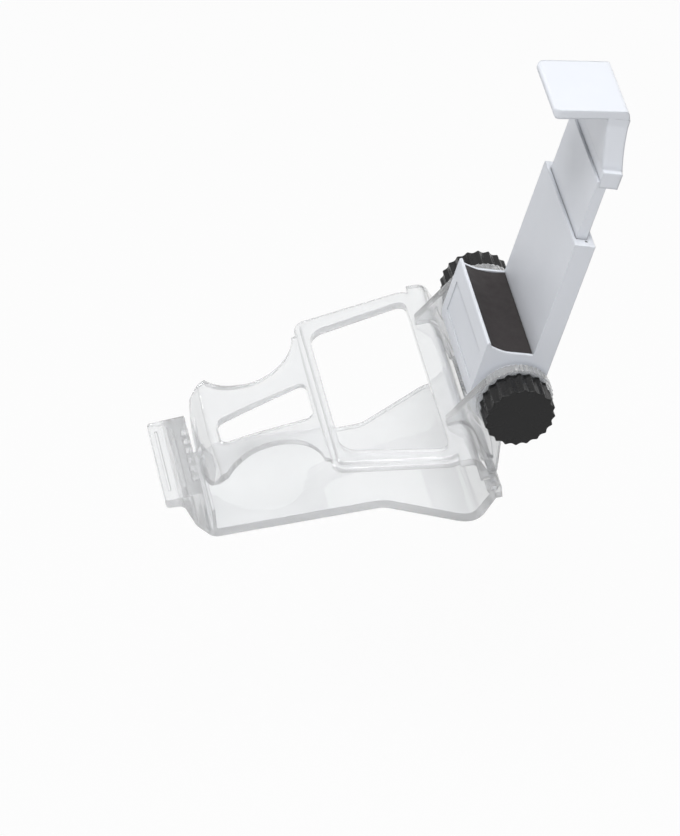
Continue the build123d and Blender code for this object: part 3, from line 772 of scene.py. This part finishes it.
class HOLDER_OT_stage(Operator):
    """Makes the pale floor, the soft light and the camera."""

    bl_idname = "holder.stage"
    bl_label = "Stage"

    def execute(self, context):
        scene = context.scene
        light = scene.holder_light
        self.make_floor(scene)
        self.make_world(scene, light.ambient)
        for name, place, width in LAMPS:
            self.make_lamp(scene, name + "_lamp", place, width, getattr(light, name))
        self.make_camera(scene)
        scene.view_settings.view_transform = "Standard"
        return {"FINISHED"}

    def make_floor(self, scene):
        """The pale paper under the holder."""
        bm = bmesh.new()
        bmesh.ops.create_grid(bm, x_segments=1, y_segments=1, size=FLOOR_REACH)
        bmesh.ops.translate(bm, verts=bm.verts, vec=(0, 0, FLOOR_HEIGHT))
        mesh = bpy.data.meshes.new("pale_floor")
        bm.to_mesh(mesh)
        bm.free()
        floor = bpy.data.objects.new("pale_floor", mesh)
        scene.collection.objects.link(floor)
        tree = FinishTree("pale_floor")
        grain = tree.noise(scale=3, detail=2)
        paper = tree.tones(grain, dark=(0.56, 0.56, 0.56), light=(0.58, 0.58, 0.58))
        matt = tree.add("ShaderNodeBsdfDiffuse", {"Color": paper}).outputs[0]
        mesh.materials.append(tree.finish(white_to_the_eye(tree, matt, FLOOR_WHITENESS)))

    def make_world(self, scene, ambient):
        """An even pale room. Gloss and clear plastic see its walls, a little darker low down."""
        world = bpy.data.worlds.new("white_room")
        world.use_nodes = True
        scene.world = world
        tree = NodeTree(world.node_tree)
        room = tree.add("ShaderNodeBackground", values={"Color": WHITE, "Strength": ambient})
        way = tree.add("ShaderNodeTexCoord").outputs["Generated"]
        height = tree.add("ShaderNodeSeparateXYZ", {0: way}).outputs["Z"]
        walls = tree.between(height, WALL_SHADE, 1.0, WALL_LOW, WALL_HIGH)
        camera = tree.add("ShaderNodeLightPath").outputs["Is Camera Ray"]
        level = tree.math("MAXIMUM", walls, camera)
        white = tree.add("ShaderNodeBackground", {"Strength": level}, {"Color": WHITE})
        seen = {0: tree.seen_plainly(), 1: room.outputs[0], 2: white.outputs[0]}
        mixed = tree.add("ShaderNodeMixShader", seen)
        tree.add("ShaderNodeOutputWorld", {"Surface": mixed.outputs[0]})

    def make_lamp(self, scene, name, place, width, power):
        """A round soft lamp that points at the holder."""
        lamp = bpy.data.lights.new(name, "AREA")
        lamp.shape = "DISK"
        lamp.size = width
        lamp.energy = power
        stand = bpy.data.objects.new(name, lamp)
        scene.collection.objects.link(stand)
        stand.location = place
        aim = LAMP_AIM - Vector(place)
        stand.rotation_euler = aim.to_track_quat("-Z", "Y").to_euler()

    def make_camera(self, scene):
        """The camera at the photograph's view."""
        camera = bpy.data.cameras.new("photo_view")
        camera.sensor_fit = "HORIZONTAL"
        camera.sensor_width = FILM_WIDTH
        camera.lens = VIEW_LENS
        camera_object = bpy.data.objects.new("photo_view", camera)
        scene.collection.objects.link(camera_object)
        turn = Matrix((VIEW_RIGHT, VIEW_UP, VIEW_BACK)).transposed().to_4x4()
        camera_object.matrix_world = Matrix.Translation(VIEW_PLACE) @ turn
        scene.camera = camera_object


class HOLDER_PT_sidebar(Panel):
    """Lists the holder's colours, sizes and making steps."""

    bl_idname = "HOLDER_PT_sidebar"
    bl_label = "Clip-on phone holder"
    bl_space_type = "VIEW_3D"
    bl_region_type = "UI"
    bl_category = "Holder"

    def draw(self, context):
        scene = context.scene
        for group in (scene.holder_colours, scene.holder_sizes, scene.holder_light):
            box = self.layout.box()
            for key in group.__annotations__:
                box.prop(group, key)
        for step in STEPS:
            self.layout.operator(step.bl_idname)


STEPS = (
    HOLDER_OT_clear_clip,
    HOLDER_OT_hinge_pins,
    HOLDER_OT_clamp_shell,
    HOLDER_OT_slide_and_jaw,
    HOLDER_OT_grip_pads,
    HOLDER_OT_small_metal,
    HOLDER_OT_tilt_knobs,
    HOLDER_OT_stage,
)
CLASSES = (FinishColours, DetailSizes, StageLight, *STEPS, HOLDER_PT_sidebar)


def register():
    """Adds the classes and the scene's settings."""
    for cls in CLASSES:
        bpy.utils.register_class(cls)
    bpy.types.Scene.holder_colours = PointerProperty(type=FinishColours)
    bpy.types.Scene.holder_sizes = PointerProperty(type=DetailSizes)
    bpy.types.Scene.holder_light = PointerProperty(type=StageLight)


def unregister():
    """Takes the classes and the scene's settings away."""
    del bpy.types.Scene.holder_light
    del bpy.types.Scene.holder_sizes
    del bpy.types.Scene.holder_colours
    for cls in reversed(CLASSES):
        bpy.utils.unregister_class(cls)


def main():
    """Makes every piece and the stage."""
    register()
    bpy.ops.holder.clear_clip()
    bpy.ops.holder.hinge_pins()
    bpy.ops.holder.clamp_shell()
    bpy.ops.holder.slide_and_jaw()
    bpy.ops.holder.grip_pads()
    bpy.ops.holder.small_metal()
    bpy.ops.holder.tilt_knobs()
    bpy.ops.holder.stage()


if __name__ == "__main__":
    main()
